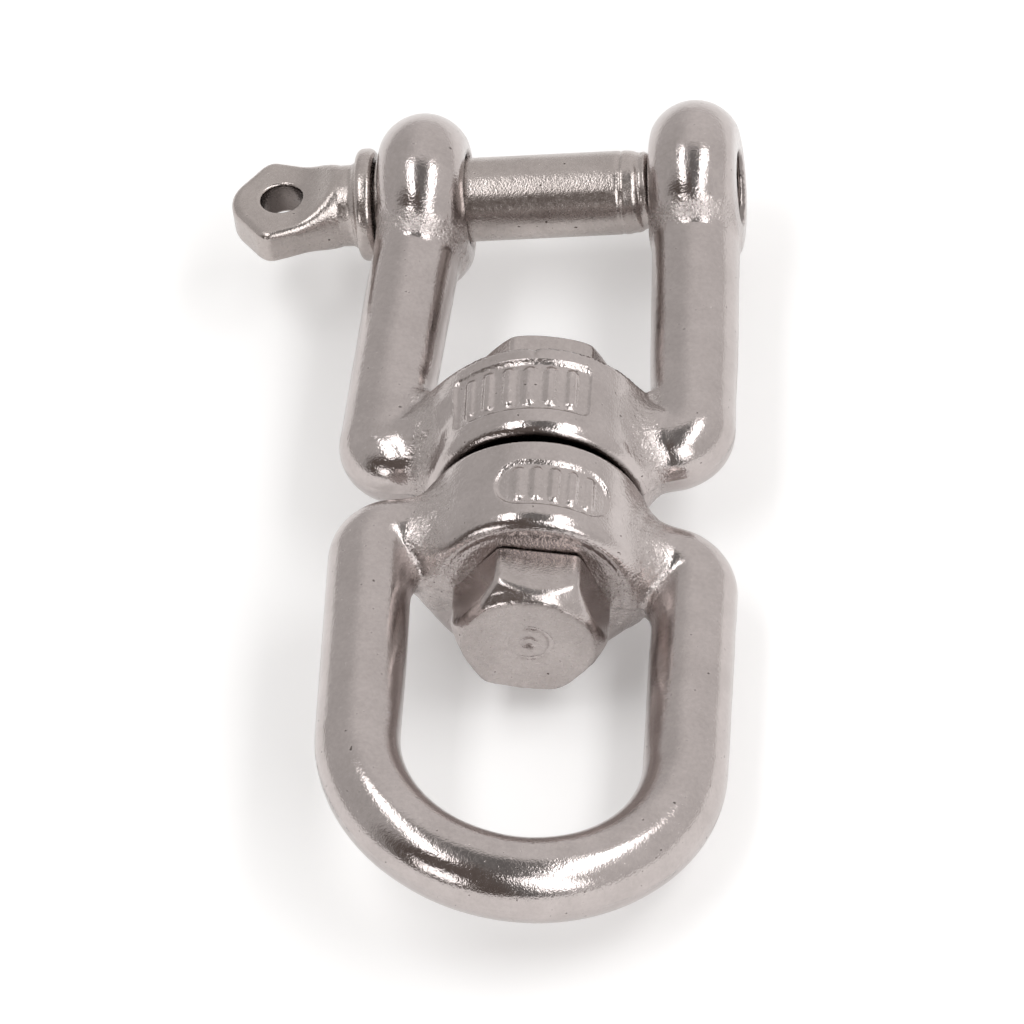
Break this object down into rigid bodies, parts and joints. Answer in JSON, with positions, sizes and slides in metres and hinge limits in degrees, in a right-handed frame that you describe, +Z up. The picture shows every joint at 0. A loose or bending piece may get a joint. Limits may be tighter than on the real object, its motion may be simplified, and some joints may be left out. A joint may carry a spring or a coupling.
{
  "type": "jaw and eye anchor swivel",
  "caption": "Cast stainless swivel: a jaw closed by a thumb-tab screw pin and a D-shaped eye turn on a through bolt to join chain to an anchor.",
  "frame": {"origin": "under the middle of the object's box, in the plane of its lowest line; the swivel axis is parallel to Y, 3.8 mm to the +X side of the origin and 6.45 mm above it", "axes": "+Y along the swivel axis from the eye towards the jaw, +X along the jaw's pin from its thumb tab to its thread, +Z up from the surface the swivel lies on"},
  "size_m": [0.0312, 0.0608, 0.0129],
  "materials": {
    "cast_steel": "cast stainless steel, tumbled and polished, granular in the inside corners",
    "turned_steel": "turned and pressed stainless steel, satin"
  },
  "bodies": {
    "jaw": {"jaw_body": "cast_steel"},
    "eye": {"eye_body": "cast_steel"},
    "bolt": {"swivel_bolt": "turned_steel", "lock_nut": "turned_steel"},
    "pin": {"clevis_pin": "turned_steel"}
  },
  "joints": [
    {"name": "eye_swivel", "type": "hinge", "parent": "jaw", "child": "eye", "pos_m": [0.0038, 0.00052, 0.00645], "axis": [0, 1, 0], "continuous": true},
    {"name": "bolt_spin", "type": "hinge", "parent": "jaw", "child": "bolt", "pos_m": [0.0038, 0.00052, 0.00645], "axis": [0, 1, 0], "continuous": true},
    {"name": "pin_slide", "type": "slide", "parent": "jaw", "child": "pin", "axis": [-1, 0, 0], "range_m": [0, 0.022]}
  ]
}
